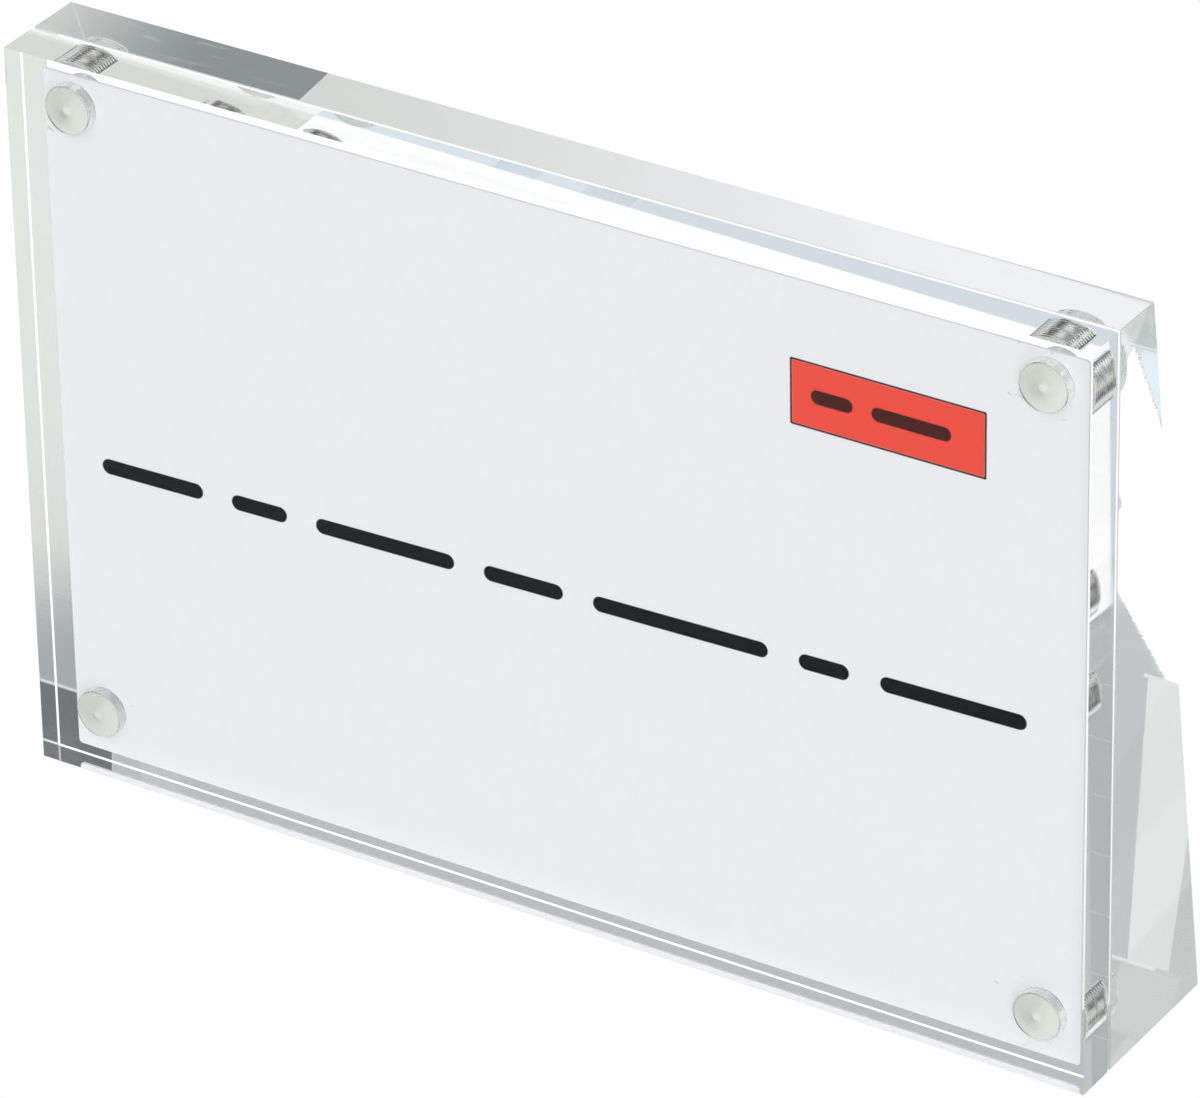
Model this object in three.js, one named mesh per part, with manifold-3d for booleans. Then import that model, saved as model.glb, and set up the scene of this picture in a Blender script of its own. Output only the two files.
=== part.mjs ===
// A magnetic acrylic sign holder: a clear front panel and a clear wedge-shaped rear block grip a printed
// card between them. Four pairs of disc magnets, glued into blind pockets near the corners, hold the two
// halves together. Sizes are in millimetres.
import * as THREE from "three";
import { mergeVertices } from "three/addons/utils/BufferGeometryUtils.js";
import Module from "manifold-3d";

// Driving dimensions: the two acrylic halves
const SIGN_WIDTH = 120;
const SIGN_HEIGHT = 80;
const PANEL_THICKNESS = 4.75;
const BLOCK_TOP_DEPTH = 6.25;
const BLOCK_BASE_DEPTH = 17.45;
const EDGE_CHAMFER = 0.1;
const HEEL_CHAMFER = 0.2;

// Driving dimensions: the card and the slot it is gripped in
const CARD_THICKNESS = 0.25;
const CARD_LEFT_MARGIN = 2.65;
const CARD_RIGHT_MARGIN = 1.85;
const CARD_TOP_MARGIN = 2.65;
const CARD_FOOT_MARGIN = 1.2;
const CARD_CLEARANCE = 0.05;

// Driving dimensions: the magnets, their pockets and the adhesive beds
const MAGNET_DIAMETER = 5;
const MAGNET_THICKNESS = 1.5;
const MAGNET_CHAMFER = 0.2;
const MAGNET_RECESS = 0.05;
const MAGNET_SIDE_INSET = 6;
const MAGNET_END_INSET = 6;
const POCKET_CLEARANCE = 0.1;
const FRONT_ADHESIVE_THICKNESS = 0.4;
const REAR_ADHESIVE_THICKNESS = 1.95;
const ADHESIVE_CLEARANCE = 0.05;
const PILOT_DIAMETER = 1.2;
const PILOT_DEPTH = 0.3;

// How finely the round pieces are faceted, and how far a cutter stands out of the face it cuts
const ROUND_SEGMENTS = 32;
const CUTTER_OVERSHOOT = 1;

// Sizes worked out from the driving dimensions
const SLOT_WIDTH = CARD_THICKNESS + 2 * CARD_CLEARANCE;
const CARD_WIDTH = SIGN_WIDTH - CARD_LEFT_MARGIN - CARD_RIGHT_MARGIN;
const CARD_HEIGHT = SIGN_HEIGHT - CARD_TOP_MARGIN - CARD_FOOT_MARGIN;
const BACK_RUN = BLOCK_BASE_DEPTH - BLOCK_TOP_DEPTH;
const HEEL_LOSS = (HEEL_CHAMFER * BACK_RUN) / Math.hypot(BACK_RUN, SIGN_HEIGHT);
const TOTAL_DEPTH = PANEL_THICKNESS + SLOT_WIDTH + BLOCK_BASE_DEPTH - HEEL_LOSS;
const MAGNET_RADIUS = MAGNET_DIAMETER / 2;
const POCKET_RADIUS = MAGNET_RADIUS + POCKET_CLEARANCE;
const MAGNET_SEAT = MAGNET_RECESS + MAGNET_THICKNESS;
const ADHESIVE_START = MAGNET_SEAT + ADHESIVE_CLEARANCE;
const ADHESIVE_RADIUS = POCKET_RADIUS - ADHESIVE_CLEARANCE;
const PILOT_RADIUS = PILOT_DIAMETER / 2;

// The model is drawn standing up, with x to the right, y up and z towards the reader of the sign. The slot's
// mid-plane is z = 0. The four magnet stations are the same on both halves.
const STATION_X = SIGN_WIDTH / 2 - MAGNET_SIDE_INSET;
const STATION_LOW = MAGNET_END_INSET;
const STATION_HIGH = SIGN_HEIGHT - MAGNET_END_INSET;
const STATIONS = [
  { label: "top_left", x: -STATION_X, y: STATION_HIGH },
  { label: "top_right", x: STATION_X, y: STATION_HIGH },
  { label: "bottom_left", x: -STATION_X, y: STATION_LOW },
  { label: "bottom_right", x: STATION_X, y: STATION_LOW },
];

// The two halves: where each mating face lies, the turn that points a lathed piece's axis into the half, and
// how deep from the mating face its adhesive reaches. The thick block is drilled deeper than the panel.
const FRONT_HALF = {
  label: "front",
  mouth: SLOT_WIDTH / 2,
  turn: Math.PI / 2,
  adhesiveEnd: ADHESIVE_START + FRONT_ADHESIVE_THICKNESS,
};
const REAR_HALF = {
  label: "rear",
  mouth: -SLOT_WIDTH / 2,
  turn: -Math.PI / 2,
  adhesiveEnd: ADHESIVE_START + REAR_ADHESIVE_THICKNESS,
};

// Materials
const acrylic = new THREE.MeshStandardMaterial({
  color: 0xeef4f1,
  roughness: 0.04,
  metalness: 0,
  transparent: true,
  opacity: 0.25,
});
const cardStock = new THREE.MeshStandardMaterial({ color: 0xe9ebef, roughness: 0.8, metalness: 0 });
const nickel = new THREE.MeshStandardMaterial({ color: 0xc6c7c3, roughness: 0.25, metalness: 1 });
const adhesive = new THREE.MeshStandardMaterial({ color: 0xd9dbd3, roughness: 0.55, metalness: 0 });

// Joining and cutting
const wasm = await Module();
wasm.setup();

function toSolid(geometry) {
  const bare = geometry.clone();
  bare.deleteAttribute("normal");
  bare.deleteAttribute("uv");
  const merged = mergeVertices(bare);
  const mesh = new wasm.Mesh({
    numProp: 3,
    vertProperties: new Float32Array(merged.attributes.position.array),
    triVerts: new Uint32Array(merged.index.array),
  });
  return new wasm.Manifold(mesh);
}

function toGeometry(solid) {
  const mesh = solid.getMesh();
  const geometry = new THREE.BufferGeometry();
  geometry.setAttribute("position", new THREE.BufferAttribute(mesh.vertProperties, 3));
  geometry.setIndex(new THREE.BufferAttribute(mesh.triVerts, 1));
  geometry.computeVertexNormals();
  return geometry;
}

// An outline whose corners are cut off: each corner is { x, y, cut }, listed counter-clockwise.
function chamferedOutline(corners) {
  const points = corners.flatMap((corner, i) => {
    const before = corners[(i + corners.length - 1) % corners.length];
    const after = corners[(i + 1) % corners.length];
    const here = new THREE.Vector2(corner.x, corner.y);
    const back = new THREE.Vector2(before.x, before.y).sub(here).setLength(corner.cut);
    const on = new THREE.Vector2(after.x, after.y).sub(here).setLength(corner.cut);
    return [here.clone().add(back), here.clone().add(on)];
  });
  return new THREE.Shape(points);
}

// A slab from z = 0 to z = length with the outline's shape, its end edges chamfered all round
function chamferedSlab(outline, length) {
  const slab = new THREE.ExtrudeGeometry(outline, {
    depth: length - 2 * EDGE_CHAMFER,
    bevelEnabled: true,
    bevelThickness: EDGE_CHAMFER,
    bevelSize: EDGE_CHAMFER,
    bevelOffset: -EDGE_CHAMFER,
    bevelSegments: 1,
  });
  return slab.translate(0, 0, EDGE_CHAMFER);
}

// A piece turned about the y axis from { r, y } points, listed from the axis round to the axis again
function turned(profile) {
  const points = profile.map((point) => new THREE.Vector2(point.r, point.y));
  return new THREE.LatheGeometry(points, ROUND_SEGMENTS);
}

// The blind pocket, measured from its mouth at y = 0 to its floor, with the drill's pilot mark in the middle
function pocketCutter(half) {
  const depth = half.adhesiveEnd + ADHESIVE_CLEARANCE;
  return turned([
    { r: 0, y: -CUTTER_OVERSHOOT },
    { r: POCKET_RADIUS, y: -CUTTER_OVERSHOOT },
    { r: POCKET_RADIUS, y: depth },
    { r: PILOT_RADIUS, y: depth },
    { r: 0, y: depth + PILOT_DEPTH },
  ]);
}

// A half with its four pockets drilled from the mating face
function drilled(geometry, half) {
  const solid = STATIONS.reduce((body, station) => {
    const cutter = pocketCutter(half).rotateX(half.turn).translate(station.x, station.y, half.mouth);
    return body.subtract(toSolid(cutter));
  }, toSolid(geometry));
  return toGeometry(solid);
}

function frontPanel() {
  const halfWidth = SIGN_WIDTH / 2;
  const outline = chamferedOutline([
    { x: -halfWidth, y: 0, cut: EDGE_CHAMFER },
    { x: halfWidth, y: 0, cut: EDGE_CHAMFER },
    { x: halfWidth, y: SIGN_HEIGHT, cut: EDGE_CHAMFER },
    { x: -halfWidth, y: SIGN_HEIGHT, cut: EDGE_CHAMFER },
  ]);
  const slab = chamferedSlab(outline, PANEL_THICKNESS).translate(0, 0, FRONT_HALF.mouth);
  return drilled(slab, FRONT_HALF);
}

// The block's side view, with x as the depth behind its mating face, swept across the width of the sign
function rearBlock() {
  const outline = chamferedOutline([
    { x: 0, y: 0, cut: EDGE_CHAMFER },
    { x: BLOCK_BASE_DEPTH, y: 0, cut: HEEL_CHAMFER },
    { x: BLOCK_TOP_DEPTH, y: SIGN_HEIGHT, cut: EDGE_CHAMFER },
    { x: 0, y: SIGN_HEIGHT, cut: EDGE_CHAMFER },
  ]);
  const wedge = chamferedSlab(outline, SIGN_WIDTH);
  wedge.translate(0, 0, -SIGN_WIDTH / 2).rotateY(Math.PI / 2).translate(0, 0, REAR_HALF.mouth);
  return drilled(wedge, REAR_HALF);
}

function insertCard() {
  const card = new THREE.BoxGeometry(CARD_WIDTH, CARD_HEIGHT, CARD_THICKNESS);
  return card.translate((CARD_LEFT_MARGIN - CARD_RIGHT_MARGIN) / 2, CARD_FOOT_MARGIN + CARD_HEIGHT / 2, 0);
}

function discMagnet() {
  const flatRadius = MAGNET_RADIUS - MAGNET_CHAMFER;
  return turned([
    { r: 0, y: MAGNET_RECESS },
    { r: flatRadius, y: MAGNET_RECESS },
    { r: MAGNET_RADIUS, y: MAGNET_RECESS + MAGNET_CHAMFER },
    { r: MAGNET_RADIUS, y: MAGNET_SEAT - MAGNET_CHAMFER },
    { r: flatRadius, y: MAGNET_SEAT },
    { r: 0, y: MAGNET_SEAT },
  ]);
}

// The adhesive fills what the magnet leaves of the pocket, and runs into the pilot mark.
function adhesiveBed(half) {
  return turned([
    { r: 0, y: ADHESIVE_START },
    { r: ADHESIVE_RADIUS, y: ADHESIVE_START },
    { r: ADHESIVE_RADIUS, y: half.adhesiveEnd },
    { r: PILOT_RADIUS, y: half.adhesiveEnd },
    { r: 0, y: half.adhesiveEnd + PILOT_DEPTH },
  ]);
}

function named(name, geometry, material) {
  const mesh = new THREE.Mesh(geometry, material);
  mesh.name = name;
  return mesh;
}

// A half's four magnets and adhesive beds, each pair turned to lie in its pocket
function fittings(half) {
  return STATIONS.map((station) => {
    const seat = new THREE.Group();
    seat.position.set(station.x, station.y, half.mouth);
    seat.rotation.x = half.turn;
    seat.add(named(`${half.label}_magnet_${station.label}`, discMagnet(), nickel));
    seat.add(named(`${half.label}_adhesive_${station.label}`, adhesiveBed(half), adhesive));
    return seat;
  });
}

// The drawing stands up when turned a quarter about x, so that z is up and the reader is on the -y side.
// Its foot is moved to the middle of the area that it covers.
const drawing = new THREE.Group();
drawing.rotation.x = Math.PI / 2;
drawing.position.y = FRONT_HALF.mouth + PANEL_THICKNESS - TOTAL_DEPTH / 2;
drawing.add(named("front_panel", frontPanel(), acrylic), ...fittings(FRONT_HALF));
drawing.add(named("rear_block", rearBlock(), acrylic), ...fittings(REAR_HALF));
drawing.add(named("insert_card", insertCard(), cardStock));

const signHolder = new THREE.Group();
signHolder.name = "acrylic_sign_holder";
signHolder.add(drawing);

export default signHolder;
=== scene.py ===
# %% [markdown]
# A magnetic sign holder is two pieces of clear acrylic with a printed card between them. What the eye
# reads as "acrylic" is nearly all refraction: the card seen through the panel, the pockets drilled for
# the magnets, and the thin bright lines of the worked edges. So each solid is modelled closed, with its
# true air gaps, and the shader is left to bend the light.

# %% Load the frame
import math

import bpy
from mathutils import Matrix, Vector


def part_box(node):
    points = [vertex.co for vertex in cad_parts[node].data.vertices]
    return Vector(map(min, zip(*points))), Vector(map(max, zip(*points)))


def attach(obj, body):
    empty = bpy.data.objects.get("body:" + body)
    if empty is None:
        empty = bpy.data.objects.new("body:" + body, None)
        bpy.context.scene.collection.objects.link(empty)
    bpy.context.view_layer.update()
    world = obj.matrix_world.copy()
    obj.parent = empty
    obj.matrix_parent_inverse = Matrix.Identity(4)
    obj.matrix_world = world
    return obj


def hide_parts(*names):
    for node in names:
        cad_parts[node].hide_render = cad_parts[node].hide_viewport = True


MM = 0.001

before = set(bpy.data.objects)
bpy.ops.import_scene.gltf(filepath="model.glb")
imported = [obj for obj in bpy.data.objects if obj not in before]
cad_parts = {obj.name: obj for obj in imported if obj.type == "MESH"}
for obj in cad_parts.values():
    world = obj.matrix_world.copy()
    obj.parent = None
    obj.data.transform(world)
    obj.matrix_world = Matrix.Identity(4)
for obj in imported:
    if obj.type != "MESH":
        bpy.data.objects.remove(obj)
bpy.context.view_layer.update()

# %% [markdown]
# The photograph was taken with a long lens, from the front right and from above, with a slight roll. A
# camera can be placed by its own coordinates, but an aim point, two angles and a distance are easier to
# read and to adjust.

# %% Place the camera
CAMERA_AIM = Vector((7.0, -11.24, 44.0)) * MM
CAMERA_AZIMUTH = math.radians(32.69)
CAMERA_ELEVATION = math.radians(30.23)
CAMERA_ROLL = math.radians(-1.09)
CAMERA_DISTANCE = 829.4 * MM
CAMERA_LENS = 262.9

camera = bpy.data.objects.new("camera", bpy.data.cameras.new("camera"))
bpy.context.collection.objects.link(camera)
camera.data.lens = CAMERA_LENS
turn = Matrix.Rotation(CAMERA_AZIMUTH, 4, "Z") @ Matrix.Rotation(math.pi / 2 - CAMERA_ELEVATION, 4, "X")
turn = turn @ Matrix.Rotation(CAMERA_ROLL, 4, "Z")
camera.matrix_world = Matrix.Translation(CAMERA_AIM) @ turn @ Matrix.Translation((0, 0, CAMERA_DISTANCE))
bpy.context.scene.camera = camera
print("camera at", [round(v, 4) for v in camera.matrix_world.translation])

# %% [markdown]
# Shader networks are easier to read as sums than as chains of nodes. This small class holds one output
# socket, turns Python's operators into Math nodes, and has one method that adds any other node.


# %% A wire of a shader network
class Wire:
    """One output socket of a node tree, with Python's operators for its maths."""

    def __init__(self, socket):
        self.socket = socket
        self.tree = socket.id_data

    def add(self, kind, settings=None, inputs=None, output=0):
        """Adds a node: its settings are set first, then its inputs are given values or wires."""
        node = self.tree.nodes.new(kind)
        for name, setting in (settings or {}).items():
            setattr(node, name, setting)
        for name, value in (inputs or {}).items():
            if isinstance(value, Wire):
                self.tree.links.new(value.socket, node.inputs[name])
            else:
                node.inputs[name].default_value = value
        return Wire(node.outputs[output])

    def maths(self, operation, first, second=0.0):
        return self.add("ShaderNodeMath", {"operation": operation}, {0: first, 1: second})

    def __add__(self, other):
        return self.maths("ADD", self, other)

    def __sub__(self, other):
        return self.maths("SUBTRACT", self, other)

    def __rsub__(self, other):
        return self.maths("SUBTRACT", other, self)

    def __mul__(self, other):
        return self.maths("MULTIPLY", self, other)

    def __pow__(self, other):
        return self.maths("POWER", self, other)

    def __abs__(self):
        return self.maths("ABSOLUTE", self)

    __radd__ = __add__
    __rmul__ = __mul__


# %% [markdown]
# Every finish needs the same few things: a new material, its shader filled in, soft steps, blends,
# noise and bumps. They could be written out each time, but small functions keep a finish to a few lines
# that say how it looks.


# %% Helpers for materials
def new_material(name):
    """A material with its shader node and a wire of Object coordinates."""
    material = bpy.data.materials.new(name)
    material.use_nodes = True
    tree = material.node_tree
    place = Wire(tree.nodes.new("ShaderNodeTexCoord").outputs["Object"])
    return material, tree.nodes["Principled BSDF"], place


def fill_shader(shader, values):
    """Sets a shader's inputs: plain values stay on the socket, wires are linked."""
    for name, value in values.items():
        if isinstance(value, Wire):
            shader.id_data.links.new(value.socket, shader.inputs[name])
        else:
            shader.inputs[name].default_value = value


def fade(value, low, high):
    """A soft step from 0 at low to 1 at high."""
    inputs = {"Value": value, "From Min": low, "From Max": high}
    return value.add("ShaderNodeMapRange", {"interpolation_type": "SMOOTHSTEP"}, inputs)


def blend_colours(mask, first, second):
    """The first colour where the mask is 0 and the second where it is 1."""
    return mask.add("ShaderNodeMix", {"data_type": "RGBA"}, {0: mask, 6: first, 7: second}, 2)


def axes(place):
    """The three coordinates of a place, in millimetres."""
    first = place.add("ShaderNodeSeparateXYZ", {}, {0: place})
    return [Wire(output) * 1000 for output in first.socket.node.outputs]


def noise(place, scales, detail=2.0):
    """Smooth noise with so many features per metre along x, y and z."""
    stretched = place.add("ShaderNodeVectorMath", {"operation": "MULTIPLY"}, {0: place, 1: scales})
    return place.add("ShaderNodeTexNoise", {}, {"Vector": stretched, "Scale": 1.0, "Detail": detail})


def bumps(height, distance):
    """A normal that follows a height, where a height of 1 stands for the distance in metres."""
    return height.add("ShaderNodeBump", {}, {"Strength": 1.0, "Distance": distance, "Height": height})


# %% [markdown]
# Clear cast acrylic bends light with an index of 1.49. The two large faces of a sheet are as cast:
# smooth, with a faint long wave. A sawn and polished edge keeps fine lines along its length and is a
# touch green. The block's top carries the smears of hands and cloths. The arrises are broken with a
# scraper, and the floor of a drilled pocket stays frosted. All are one recipe with different haze and
# bumps, so one function makes them. Smears only change the roughness.

# %% Acrylic
ACRYLIC_IOR = 1.49
CLEAR = (1.0, 1.0, 1.0, 1.0)
FAINT_GREEN = (0.96, 0.98, 0.97, 1.0)
MICRON = 1e-6
FINGER_MARKS = (90.0, 90.0, 90.0)
WIPE_MARKS = (140.0, 700.0, 140.0)
SMEAR_RANGE = (0.5, 0.75)


def acrylic(name, colour, haze, smudge, lines, depth, glare=1.0, smears=FINGER_MARKS):
    """Acrylic of a colour and haze, with smears and with bumps of so many lines per metre and a depth."""
    material, shader, place = new_material(name)
    smeared = fade(noise(place, smears), *SMEAR_RANGE)
    fill_shader(shader, {
        "Base Color": colour,
        "Roughness": haze + smudge * smeared,
        "IOR": ACRYLIC_IOR,
        "Transmission Weight": 1.0,
        "Specular Tint": (glare, glare, glare, 1.0),
        "Normal": bumps(noise(place, lines, 1.0), depth),
    })
    return material


SHEET_WAVES = (30.0, 30.0, 30.0)
SAW_LINES = (30.0, 1500.0, 30.0)
SLOPE_LINES = (20.0, 0.0, 4000.0)
SCRAPER_MARKS = (400.0, 400.0, 400.0)
DRILL_LINES = (300.0, 9000.0, 300.0)
FROST_GRAIN = (1500.0, 1500.0, 1500.0)
FACE_GLARE = 0.1

sheet_face = acrylic("sheet_face", CLEAR, 0.0, 0.03, SHEET_WAVES, 2 * MICRON, glare=FACE_GLARE)
cut_edge = acrylic("cut_edge", FAINT_GREEN, 0.0, 0.03, SAW_LINES, 0.5 * MICRON)
cut_slope = acrylic("cut_slope", FAINT_GREEN, 0.0, 0.03, SLOPE_LINES, 0.6 * MICRON)
wiped_edge = acrylic("wiped_edge", FAINT_GREEN, 0.0, 0.14, SAW_LINES, 0.5 * MICRON, smears=WIPE_MARKS)
eased_edge = acrylic("eased_edge", CLEAR, 0.6, 0.05, SCRAPER_MARKS, 1 * MICRON)
drilled_wall = acrylic("drilled_wall", CLEAR, 0.18, 0.1, DRILL_LINES, 1 * MICRON)
drilled_floor = acrylic("drilled_floor", CLEAR, 0.4, 0.1, FROST_GRAIN, 10 * MICRON)
print("materials so far:", [material.name for material in bpy.data.materials])

# %% [markdown]
# Each piece starts from a primitive and is shaped in edit mode, as by hand. An operator acts on all
# that is selected, so these helpers deselect everything, open one piece, and select by a test on places
# and normals.


# %% Helpers for modelling
def take(piece):
    """Leaves edit mode and makes the piece the only selected and the active object."""
    if bpy.context.mode != "OBJECT":
        bpy.ops.object.mode_set(mode="OBJECT")
    bpy.ops.object.select_all(action="DESELECT")
    if piece:
        piece.select_set(True)
        bpy.context.view_layer.objects.active = piece


def pick(piece, kind, test):
    """Opens the piece in edit mode with only the vertices or edges selected that pass the test."""
    take(piece)
    bpy.ops.object.mode_set(mode="EDIT")
    bpy.ops.mesh.select_mode(type=kind)
    bpy.ops.mesh.select_all(action="DESELECT")
    bpy.ops.object.mode_set(mode="OBJECT")
    mesh = piece.data
    for part in mesh.vertices if kind == "VERT" else mesh.edges:
        corners = [part.co] if kind == "VERT" else [mesh.vertices[v].co for v in part.vertices]
        part.select = test(*corners)
    bpy.ops.object.mode_set(mode="EDIT")


def finish_piece(name, *materials):
    """Closes edit mode, puts the active object's place into its mesh, and gives it its name and materials."""
    piece = bpy.context.active_object
    take(piece)
    bpy.ops.object.transform_apply(location=True, rotation=True, scale=True)
    piece.name = name
    for material in materials:
        piece.data.materials.append(material)
    return piece


def add_slab(name, low, high, *materials):
    take(None)
    size = [b - a for a, b in zip(low, high)]
    middle = [(a + b) / 2 for a, b in zip(low, high)]
    bpy.ops.mesh.primitive_cube_add(size=1, location=middle, scale=size)
    return finish_piece(name, *materials)


# %% [markdown]
# The front panel is a plate of 5 mm sheet. Its sawn edges are polished and mostly left sharp. Only the
# arrises that are handled or stand on the table are broken, with a chamfer of a tenth of a millimetre:
# hardly a shape, but each one shows as a line of light. So those edges of a cube are picked and
# bevelled by one segment. The faces then get their finish by the way they look: the two large ones are
# as cast, the other flat ones are cut, and the slanted slivers are scraped.

# %% Model the front panel
EDGE_CHAMFER = 0.1 * MM
NEAR = 0.01 * MM
SHEET, CUT, EASED = 0, 1, 2
SQUARE_ON = 0.9


def mark_finishes(piece):
    """Gives each face of a bevelled slab its finish."""
    for face in piece.data.polygons:
        if max(abs(c) for c in face.normal) < SQUARE_ON:
            face.material_index = EASED
        else:
            face.material_index = SHEET if abs(face.normal.y) > SQUARE_ON else CUT


panel_low, panel_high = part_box("front_panel")


def broken_on_panel(a, b):
    """The arrises at the top and on the right of the face that meets the block, and the one low in front."""
    middle = (a + b) / 2
    if abs(a.y - b.y) > NEAR:
        return False
    if middle.y > panel_high[1] - NEAR:
        return middle.z > panel_high[2] - NEAR or middle.x > panel_high[0] - NEAR
    return middle.z < NEAR


panel = add_slab("panel_acrylic", panel_low, panel_high, sheet_face, cut_edge, eased_edge)
pick(panel, "EDGE", broken_on_panel)
bpy.ops.mesh.bevel(offset=EDGE_CHAMFER, segments=1, affect="EDGES")
take(panel)
mark_finishes(panel)
print("panel faces:", len(panel.data.polygons))

# %% [markdown]
# The rear block is sawn to a wedge, so that the holder leans on nothing and still stands. Moving the
# top edge of a cube's back face forward gives the slope. The heel has a wider chamfer, because that
# corner stands on the table, so it is bevelled first, and the other broken arrises after it. The heel
# and the slope are cut faces too, polished along their width, and the top is where hands and cloths
# leave their marks.

# %% Model the rear block
HEEL_CHAMFER = 0.2 * MM
HEEL_TILT = 0.3
BLOCK_TOP_DEPTH = 6.25 * MM
BLOCK_BASE_DEPTH = 17.45 * MM
SLOPE, TOP = 3, 4

block_low, block_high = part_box("rear_block")
base_back = block_low[1] + BLOCK_BASE_DEPTH
block_corner = (block_high[0], base_back, block_high[2])
block_finishes = (sheet_face, cut_edge, eased_edge, cut_slope, wiped_edge)
block = add_slab("block_acrylic", block_low, block_corner, *block_finishes)
pick(block, "VERT", lambda v: v.y > base_back - NEAR and v.z > block_high[2] - NEAR)
bpy.ops.transform.translate(value=(0, BLOCK_TOP_DEPTH - BLOCK_BASE_DEPTH, 0))


def at_heel(a, b):
    across = abs(a.x - b.x) > HEEL_CHAMFER
    return across and min(a.y, b.y) > base_back - 2 * HEEL_CHAMFER and max(a.z, b.z) < 2 * HEEL_CHAMFER


def broken_on_block(a, b):
    """The slanted arrises behind, and those at the top and on the right that are handled."""
    middle = (a + b) / 2
    at_top = middle.z > block_high[2] - NEAR
    at_right = middle.x > block_high[0] - NEAR
    if middle.y < block_low[1] + NEAR:
        return at_top or at_right
    return abs(a.z - b.z) > BLOCK_BASE_DEPTH or (at_top and middle.x > block_low[0] + NEAR)


pick(block, "EDGE", at_heel)
bpy.ops.mesh.bevel(offset=HEEL_CHAMFER, segments=1, affect="EDGES")
pick(block, "EDGE", broken_on_block)
bpy.ops.mesh.bevel(offset=EDGE_CHAMFER, segments=1, affect="EDGES")
take(block)
mark_finishes(block)
for face in block.data.polygons:
    if face.normal.y > SQUARE_ON:
        face.material_index = SLOPE
    elif face.normal.z > SQUARE_ON:
        face.material_index = TOP
    elif min(face.normal.y, -face.normal.z) > HEEL_TILT:
        face.material_index = CUT
print("block faces:", len(block.data.polygons))

# %% [markdown]
# Both halves have four blind pockets, drilled from the faces that meet. The thick block is drilled
# deeper than the panel. The CAD pieces that lie in the pockets give their sizes, so nothing is typed
# twice: distances are measured into the half from the pocket's mouth.

# %% Measure the pockets
PILOT_RADIUS = 0.6 * MM
PILOT_DEPTH = 0.3 * MM
ADHESIVE_CLEARANCE = 0.05 * MM
CORNERS = ("top_left", "top_right", "bottom_left", "bottom_right")
HALVES = {
    "front": {"piece": panel, "body": "front_panel", "mouth": panel_high[1], "tilt": math.pi / 2},
    "rear": {"piece": block, "body": "rear_block", "mouth": block_low[1], "tilt": -math.pi / 2},
}


def reach(node, mouth):
    """How far into its half a piece starts and ends."""
    low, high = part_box(node)
    return sorted((abs(low[1] - mouth), abs(high[1] - mouth)))


def round_radius(node):
    low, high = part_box(node)
    return (high[0] - low[0]) / 2


for label, half in HALVES.items():
    half["magnet"] = reach(f"{label}_magnet_top_left", half["mouth"])
    bed_start, bed_tip = reach(f"{label}_adhesive_top_left", half["mouth"])
    half["bed"] = (bed_start, bed_tip - PILOT_DEPTH)
    half["depth"] = bed_tip - PILOT_DEPTH + ADHESIVE_CLEARANCE
    print(label, "pocket depth in mm:", round(half["depth"] / MM, 3))
MAGNET_RADIUS = round_radius("front_magnet_top_left")
ADHESIVE_RADIUS = round_radius("front_adhesive_top_left")
POCKET_RADIUS = ADHESIVE_RADIUS + ADHESIVE_CLEARANCE

# %% [markdown]
# A flat-bottomed drill leaves rings down the wall of its hole and a small pilot mark in the middle of
# its floor. The rings are shallow, a few degrees up and down. Seen from the front they are hardly more
# than hairlines, but where the wall is looked at near the angle at which acrylic starts to mirror, they
# turn into dark and light stripes. So the cutter is drawn like the hole: a disc is pushed down ring by
# ring, a hair in and out, and its end is inset and pulled to a point. One cutter is modelled for each
# half and copied to the four corners.

# %% Model the drills
ROUND_SIDES = 96
GROOVE_PITCH = 0.4 * MM
GROOVE_SPREAD = 0.99
FLOOR_FILLET = 0.12 * MM
DRILL_OVERSHOOT = 1.0 * MM
FLOOR_TILT = 0.3
WALL_FINISH, FLOOR_FINISH = 0, 1


def start_disc(radius, height):
    """A flat disc, opened in edit mode with everything selected."""
    take(None)
    bpy.ops.mesh.primitive_circle_add(
        vertices=ROUND_SIDES, radius=radius, fill_type="NGON", location=(0, 0, height)
    )
    bpy.ops.object.mode_set(mode="EDIT")
    bpy.ops.mesh.select_all(action="SELECT")


def push(depth, spread=1.0):
    """Extrudes the selected face along the axis and scales its new rim."""
    bpy.ops.mesh.extrude_region_move(TRANSFORM_OT_translate={"value": (0, 0, depth)})
    bpy.ops.transform.resize(value=(spread, spread, 1.0))


def close_tip(radius, wall, depth):
    """Insets the selected end face to the pilot's radius and draws it out to a point."""
    bpy.ops.mesh.inset(thickness=wall - radius)
    bpy.ops.mesh.extrude_region_move(TRANSFORM_OT_translate={"value": (0, 0, depth)})
    bpy.ops.mesh.merge(type="CENTER")
    bpy.ops.mesh.select_all(action="SELECT")
    bpy.ops.mesh.normals_make_consistent(inside=False)


def model_drill(depth):
    start_disc(POCKET_RADIUS, -DRILL_OVERSHOOT)
    push(DRILL_OVERSHOOT)
    count = round((depth - FLOOR_FILLET) / GROOVE_PITCH)
    half_pitch = (depth - FLOOR_FILLET) / count / 2
    for _ in range(count):
        push(half_pitch, GROOVE_SPREAD)
        push(half_pitch, 1 / GROOVE_SPREAD)
    push(FLOOR_FILLET, 1 - FLOOR_FILLET / POCKET_RADIUS)
    close_tip(PILOT_RADIUS, POCKET_RADIUS - FLOOR_FILLET, PILOT_DEPTH)
    drill = finish_piece("drill", drilled_wall, drilled_floor)
    for face in drill.data.polygons:
        on_floor = face.normal.z > FLOOR_TILT and face.center.z > depth - FLOOR_FILLET
        face.material_index = FLOOR_FINISH if on_floor else WALL_FINISH
    print("drill faces:", len(drill.data.polygons), "rings:", count)
    return drill


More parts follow.
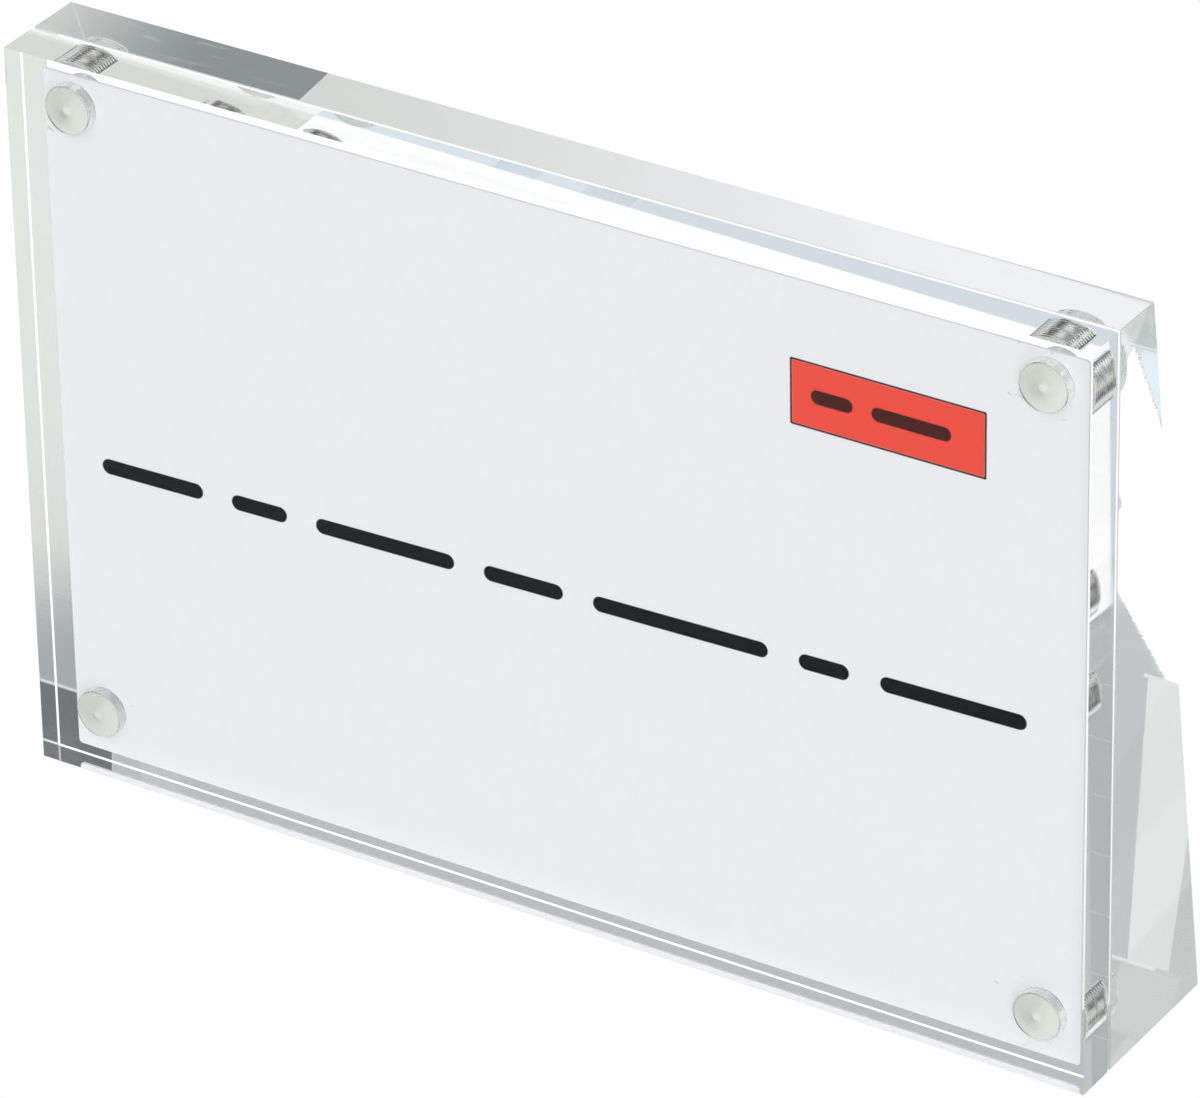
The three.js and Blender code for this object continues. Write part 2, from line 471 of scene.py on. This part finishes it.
# %% [markdown]
# A Boolean difference drills the pocket, as the drill does. Transferring the cutter's materials leaves
# the wall and the floor of each pocket frosted, while the faces around it stay clear. Smoothing by a
# small angle then rounds the pocket but keeps the shallow rings apart. The rim of the pilot mark is
# worn, so it is made smooth again.


# %% Drill the pockets
RING_ANGLE = math.radians(6)
PILOT_RIM = 1.5 * math.tau * PILOT_RADIUS / ROUND_SIDES


def at_floor(corner, half):
    return abs(corner.y - half["mouth"]) > half["depth"] - NEAR


def seated_copy(master, name, label, corner):
    """A copy of a piece that was modelled along z from its pocket's mouth, laid in one pocket."""
    low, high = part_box(f"{label}_magnet_{corner}")
    half = HALVES[label]
    copy = master.copy()
    copy.data = master.data.copy()
    copy.name = name
    bpy.context.collection.objects.link(copy)
    place = Matrix.Translation(((low[0] + high[0]) / 2, half["mouth"], (low[2] + high[2]) / 2))
    copy.matrix_world = place @ Matrix.Rotation(half["tilt"], 4, "X")
    take(copy)
    bpy.ops.object.transform_apply(location=True, rotation=True, scale=True)
    return copy


for label, half in HALVES.items():
    drill = model_drill(half["depth"])
    piece = half["piece"]
    for corner in CORNERS:
        cutter = seated_copy(drill, "cutter", label, corner)
        take(piece)
        cut = piece.modifiers.new("pocket", "BOOLEAN")
        cut.operation = "DIFFERENCE"
        cut.solver = "EXACT"
        cut.material_mode = "TRANSFER"
        cut.object = cutter
        bpy.ops.object.modifier_apply(modifier=cut.name)
        bpy.data.objects.remove(cutter)
    bpy.ops.object.shade_smooth_by_angle(angle=RING_ANGLE)
    pick(piece, "EDGE", lambda a, b: (a - b).length < PILOT_RIM and at_floor(a, half) and at_floor(b, half))
    bpy.ops.mesh.mark_sharp(clear=True)
    take(piece)
    bpy.data.objects.remove(drill)
    print(piece.name, len(piece.data.polygons), [m.name for m in piece.data.materials])

# %% [markdown]
# The magnets are nickel-plated discs, tumbled so that their rims are round. The plating is a warm grey
# mirror, dulled in patches by handling, with fine scratches. They are cylinders whose rims are bevelled
# in four steps.

# %% Model a magnet
MAGNET_EDGE = 0.2 * MM
SMOOTH_ANGLE = math.radians(30)
NICKEL_CLEAN = (0.62, 0.61, 0.58, 1.0)
NICKEL_DULL = (0.46, 0.45, 0.43, 1.0)
DULL_PATCHES = (400.0, 400.0, 400.0)
DULL_RANGE = (0.4, 0.7)
SCRATCHES = (5000.0, 300.0, 900.0)

nickel, shader, place = new_material("nickel_plating")
dulled = fade(noise(place, DULL_PATCHES, 4.0), *DULL_RANGE)
scratches = noise(place, SCRATCHES, 3.0)
fill_shader(shader, {
    "Base Color": blend_colours(dulled, NICKEL_CLEAN, NICKEL_DULL),
    "Metallic": 1.0,
    "Roughness": 0.3 + 0.2 * dulled,
    "Normal": bumps(scratches, 2 * MICRON),
})


def model_magnet(start, end):
    take(None)
    bpy.ops.mesh.primitive_cylinder_add(
        vertices=ROUND_SIDES, radius=MAGNET_RADIUS, depth=end - start, location=(0, 0, (start + end) / 2)
    )
    disc = finish_piece("magnet", nickel)
    pick(disc, "EDGE", lambda a, b: abs(a.z - b.z) < NEAR)
    bpy.ops.mesh.bevel(offset=MAGNET_EDGE, segments=4, affect="EDGES")
    take(disc)
    bpy.ops.object.shade_smooth_by_angle(angle=SMOOTH_ANGLE)
    return disc


# %% [markdown]
# Behind each magnet lies a bed of cloudy adhesive, which also fills the drill's pilot mark. Seen
# through the frosted floor it is the pale green-grey disc at each corner of the sign. It is cloudy
# unevenly, so its colour follows noise. On top of that, painted shade darkens each thin bed towards the
# upper left and painted light brightens it towards the lower right. A painted highlight lightens the nub
# in the middle, by the distance from the pocket's axis. The deep beds in the block look whiter than the
# thin ones in the panel.

# %% Model an adhesive bed
# The shaded and lit bed colours are painted shade and painted light, and the nub's colour is a painted
# highlight.
BED_SHADED = (0.72, 0.74, 0.68, 1.0)
BED_LIT = (0.87, 0.89, 0.83, 1.0)
BED_DEEP = (0.95, 0.96, 0.94, 1.0)
BED_NUB_HIGHLIGHT = (0.97, 0.98, 0.95, 1.0)
CLOUDS = (500.0, 500.0, 500.0)
SIDE_FADE = 3.0
NUB_FADE = (0.25, 0.6)
SEAM_FADE = 0.1

adhesive, shader, place = new_material("cured_adhesive")
station_low, station_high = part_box("front_magnet_top_right")
STATION_X = (station_low[0] + station_high[0]) / 2 / MM
STATION_HIGH = (station_low[2] + station_high[2]) / 2 / MM
MIDDLE_HEIGHT = (panel_low[2] + panel_high[2]) / 2 / MM
SEAM = (panel_high[1] + block_low[1]) / 2 / MM


def pocket_offsets(place):
    """How far to the right of, above and from the axis of the nearest pocket a place lies, in millimetres."""
    x, _, z = axes(place)
    raised = z - MIDDLE_HEIGHT
    right = x - x.maths("SIGN", x) * STATION_X
    above = raised - raised.maths("SIGN", raised) * (STATION_HIGH - MIDDLE_HEIGHT)
    return right, above, (right * right + above * above) ** 0.5


right, above, from_axis = pocket_offsets(place)
clouds = noise(place, CLOUDS, 4.0)
# Painted shade towards the upper left of each pocket and painted light towards the lower right, made uneven
# by the clouds.
painted_side_light = fade(right - above + 2.0 * (clouds - 0.5), -SIDE_FADE, SIDE_FADE)
thin_bed = blend_colours(painted_side_light, BED_SHADED, BED_LIT)
body = blend_colours(fade(axes(place)[1] - SEAM, -SEAM_FADE, SEAM_FADE), thin_bed, BED_DEEP)
# A painted highlight that lightens the nub in the middle of each bed.
painted_nub_highlight = 1.0 - fade(from_axis, *NUB_FADE)
fill_shader(shader, {
    "Base Color": blend_colours(painted_nub_highlight, body, BED_NUB_HIGHLIGHT),
    "Roughness": 0.4 + 0.2 * clouds,
    "Normal": bumps(clouds, 20 * MICRON),
})


def model_bed(start, end):
    start_disc(ADHESIVE_RADIUS, start)
    push(end - start - FLOOR_FILLET)
    push(FLOOR_FILLET, 1 - FLOOR_FILLET / ADHESIVE_RADIUS)
    close_tip(PILOT_RADIUS, ADHESIVE_RADIUS - FLOOR_FILLET, PILOT_DEPTH)
    filling = finish_piece("bed", adhesive)
    bpy.ops.object.shade_smooth_by_angle(angle=SMOOTH_ANGLE)
    return filling


# %% [markdown]
# Eight magnets and eight beds are glued in, one of each to a pocket. They could be modelled sixteen
# times. Instead each is modelled once for a half, along z from the pocket's mouth, and copied into its
# four pockets. Every copy has its own mesh, so that it can stand for its own CAD piece and move with
# its half.

# %% Seat the magnets and the adhesive
for label, half in HALVES.items():
    for part, master, slot in (
        ("magnet", model_magnet(*half["magnet"]), "nickel"),
        ("adhesive", model_bed(*half["bed"]), "adhesive"),
    ):
        for corner in CORNERS:
            copy = seated_copy(master, f"seated_{label}_{part}_{corner}", label, corner)
            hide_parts(f"{label}_{part}_{corner}")
            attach(copy, half["body"])
        bpy.data.objects.remove(master)

# %% [markdown]
# The card is plain matt board, cut square with a guillotine, its corners a little soft. Its print is a
# neutral layout: a row of dark bars, set a little askew, and a red label with brown ink. The bars are
# drawn by the distance to a rounded rectangle, which gives clean edges at any size. Around the magnets,
# where fingers slide the card into place, it is a little scuffed.

# %% Print and board of the card
RED = (0.87, 0.085, 0.055, 1.0)
INK = (0.003, 0.003, 0.004, 1.0)
LABEL_INK = (0.07, 0.012, 0.01, 1.0)
BOARD = (0.86, 0.87, 0.89, 1.0)
BOARD_FIBRE = (0.82, 0.83, 0.86, 1.0)
SCUFF = (0.3, 0.3, 0.32, 1.0)
LABEL_MIDDLE, LABEL_SIZE = (37.0, 65.5), (21.0, 7.1)
LABEL_BORDER = 0.22
LABEL_ROUNDING, RED_ROUNDING = 0.2, 0.15
LABEL_BARS = {31.0: 4.5, 39.5: 8.5}
LABEL_BAR_HEIGHT = 1.5
ROW_HEIGHT, ROW_SLOPE, BAR_HEIGHT = 35.9, 0.024, 1.7
ROW_START, ROW_GAP = -52.7, 3.4
ROW_BARS = (12.0, 6.5, 16.0, 9.0, 19.5, 5.5, 15.8)
PRINT_EDGE = 0.06
PRINT_DEPTH = 0.05

card_stock, shader, place = new_material("card_stock")
x, y, z = axes(place)


def bar(across, up, middle, size, rounding):
    """A mask of a rounded rectangle, in millimetres."""
    wide = abs(across - middle[0]) - (size[0] / 2 - rounding)
    high = abs(up - middle[1]) - (size[1] / 2 - rounding)
    wide, high = wide.maths("MAXIMUM", wide), high.maths("MAXIMUM", high)
    distance = (wide * wide + high * high) ** 0.5
    return 1.0 - fade(distance - rounding, -PRINT_EDGE, PRINT_EDGE)


labelled = bar(x, z, LABEL_MIDDLE, LABEL_SIZE, LABEL_ROUNDING)
reddened = bar(x, z, LABEL_MIDDLE, [s - 2 * LABEL_BORDER for s in LABEL_SIZE], RED_ROUNDING)
label_bars = [
    bar(x, z, (middle, LABEL_MIDDLE[1]), (width, LABEL_BAR_HEIGHT), LABEL_BAR_HEIGHT / 2)
    for middle, width in LABEL_BARS.items()
]
row = z - ROW_SLOPE * x
row_bars = []
for number, width in enumerate(ROW_BARS):
    start = ROW_START + sum(ROW_BARS[:number]) + number * ROW_GAP
    row_bars.append(bar(x, row, (start + width / 2, ROW_HEIGHT), (width, BAR_HEIGHT), BAR_HEIGHT / 2))
label_inked = labelled - reddened + sum(label_bars)
row_inked = sum(row_bars)

# %% [markdown]
# A plane would do for the face of the card, but its cut edge shows through the acrylic as a thin line.
# So the card is a slab with its true thickness, its corners rounded by a bevel, and the fibres of the
# board give it tone and tooth.

# %% Model the card
CARD_CORNER = 0.4 * MM
FIBRES = (900.0, 900.0, 900.0)
SCUFF_MARKS = (500.0, 500.0, 900.0)
SCUFF_RANGE = (0.66, 0.74)
HANDLED_FROM, HANDLED_TO = (2.6, 3.2), (4.5, 6.5)
CARD_MIDDLE = sum(corner[1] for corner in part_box("insert_card")) / 2 / MM

fibres = noise(place, FIBRES, 4.0)
from_axis = pocket_offsets(place)[-1]
handled = fade(from_axis, *HANDLED_FROM) * (1.0 - fade(from_axis, *HANDLED_TO))
scuffs = fade(noise(place, SCUFF_MARKS, 4.0), *SCUFF_RANGE) * handled
printed_side = fade(CARD_MIDDLE - y, 0.0, PRINT_DEPTH)
board = blend_colours(0.5 * fibres, BOARD, BOARD_FIBRE)
board = blend_colours(0.4 * scuffs, board, SCUFF)
printed = blend_colours(reddened * printed_side, board, RED)
printed = blend_colours(label_inked * printed_side, printed, LABEL_INK)
fill_shader(shader, {
    "Base Color": blend_colours(row_inked * printed_side, printed, INK),
    "Roughness": 0.75 - 0.15 * (label_inked + row_inked),
    "Specular IOR Level": 0.0,
    "Normal": bumps(fibres, 6 * MICRON),
})

card = add_slab("card_sheet", *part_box("insert_card"), card_stock)
pick(card, "EDGE", lambda a, b: abs(a.y - b.y) > NEAR)
bpy.ops.mesh.bevel(offset=CARD_CORNER, segments=4, affect="EDGES")
take(card)
for piece, node, slot in (
    (panel, "front_panel", "acrylic"),
    (block, "rear_block", "acrylic"),
    (card, "insert_card", "card"),
):
    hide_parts(node)
    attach(piece, node)
print("card faces:", len(card.data.polygons), "bars:", len(ROW_BARS) + len(LABEL_BARS))

# %% [markdown]
# The holder stands on a white table. The camera sees the floor nearly white, with a trace of the
# contact shadow. The floor lies a hair below the base, and rays inside the acrylic pass it by, because
# they are to see the studio's lower half instead, which says more exactly what the real table showed
# them.

# %% Floor
FLOOR_DROP = 0.2 * MM
FLOOR_SIZE = 8.0
FLOOR_WHITE = 0.93
FLOOR_GLOW = 1.03
FLOOR_PAINT = (0.9, 0.9, 0.9, 1.0)

take(None)
bpy.ops.mesh.primitive_plane_add(size=FLOOR_SIZE, location=(0, 0, -FLOOR_DROP))
floor = bpy.context.active_object
floor.name = "floor"
floor.visible_transmission = False
floor_paint, shader, place = new_material("floor_paint")
fill_shader(shader, {"Base Color": FLOOR_PAINT, "Roughness": 0.9})
glow = place.add("ShaderNodeEmission", {}, {"Color": CLEAR, "Strength": FLOOR_GLOW})
seen = place.add("ShaderNodeLightPath", {}, {}, "Is Camera Ray")
surface = place.add("ShaderNodeMixShader", {}, {0: seen * FLOOR_WHITE, 1: Wire(shader.outputs[0]), 2: glow})
output = floor_paint.node_tree.nodes["Material Output"]
floor_paint.node_tree.links.new(surface.socket, output.inputs["Surface"])
floor.data.materials.append(floor_paint)

# %% [markdown]
# Clear acrylic has no look of its own: it shows its surroundings. So the studio is a light tent with a
# softbox in front, a lit table, and a few brighter and darker places around it, where the worked edges
# show white, grey or dark. Each area is a soft disc around a direction, found with a dot product, and
# each is laid over those before it.

# %% Light tent
TENT_ABOVE = (0.5, 0.51, 0.52, 1.0)
TENT_BELOW = (0.7, 0.72, 0.7, 1.0)
HORIZON = 0.05


def grey(level):
    return (level, level, level)


# Each area is its azimuth and elevation, the radii where it is full and gone, in degrees, and its colour.
TENT_AREAS = {
    "front softbox": (285, 25, 20, 60, grey(1.4)),
    "front table": (285, -40, 15, 40, grey(0.97)),
    "dim wall at left": (241, 32, 5, 8, grey(0.62)),
    "lit table behind": (120, -27, 8, 16, grey(1.15)),
    "table edge behind": (114, -9, 6, 10, grey(0.56)),
    "table far behind": (129, -55, 4, 10, (0.93, 0.93, 0.95)),
    "lamp behind": (138, 54, 5, 6.5, grey(1.3)),
    "wall behind": (116, 18, 4, 8, grey(0.58)),
    "window at left": (235, 43, 4, 8, (0.78, 0.86, 0.95)),
    "wall at left": (245, 18, 5, 10, (0.8, 0.81, 0.8)),
    "ceiling at left": (201, 63, 5, 10, (0.56, 0.59, 0.62)),
    "table edge at left": (246, -10, 6, 10, grey(0.56)),
    "table at left": (240, -28, 5, 10, (0.7, 0.77, 0.84)),
    "far table at right": (55, -27, 3, 5, (0.78, 0.8, 0.75)),
    "table at right": (52, -33, 2.5, 4.5, (0.78, 0.81, 0.78)),
    "dark table at right": (52, -44, 6.7, 7.6, (0.36, 0.38, 0.39)),
    "dark table near right": (38, -55, 4.7, 5.9, (0.24, 0.26, 0.27)),
    "dark wall at right": (58, 22, 8, 15, (0.13, 0.14, 0.15)),
}


def toward(azimuth, elevation):
    """The unit vector to an azimuth, counter-clockwise from +x, and an elevation, in degrees."""
    a, e = math.radians(azimuth), math.radians(elevation)
    return (math.cos(e) * math.cos(a), math.cos(e) * math.sin(a), math.sin(e))


def studio_tint(direction):
    """The tent's colour in a direction."""
    height = direction.add("ShaderNodeSeparateXYZ", {}, {0: direction}, "Z")
    tint = blend_colours(fade(height, -HORIZON, HORIZON), TENT_BELOW, TENT_ABOVE)
    for azimuth, elevation, full, gone, shade in TENT_AREAS.values():
        inputs = {0: direction, 1: toward(azimuth, elevation)}
        nearness = direction.add("ShaderNodeVectorMath", {"operation": "DOT_PRODUCT"}, inputs, "Value")
        mask = fade(nearness, math.cos(math.radians(gone)), math.cos(math.radians(full)))
        tint = blend_colours(mask, tint, (*shade, 1.0))
    return tint


world = bpy.data.worlds.new("light_tent")
bpy.context.scene.world = world
world.use_nodes = True
direction = Wire(world.node_tree.nodes.new("ShaderNodeTexCoord").outputs["Generated"])
seen = direction.add("ShaderNodeLightPath", {}, {}, "Is Camera Ray")
background = world.node_tree.nodes["Background"]
fill_shader(background, {"Color": blend_colours(seen, studio_tint(direction), CLEAR)})
print("tent areas:", len(TENT_AREAS))

# %% [markdown]
# Light goes back and forth many times in a clear plate before it leaves through an edge. With few
# bounces those paths end in black, so the limits are raised. Glossy filtering is turned off, because it
# would blur a mirror image more with every reflection.

# %% Render settings
LIGHT_BOUNCES = 32

cycles = bpy.context.scene.cycles
cycles.max_bounces = LIGHT_BOUNCES
cycles.glossy_bounces = LIGHT_BOUNCES
cycles.transmission_bounces = LIGHT_BOUNCES
cycles.blur_glossy = 0.0
bpy.context.scene.view_settings.view_transform = "Standard"
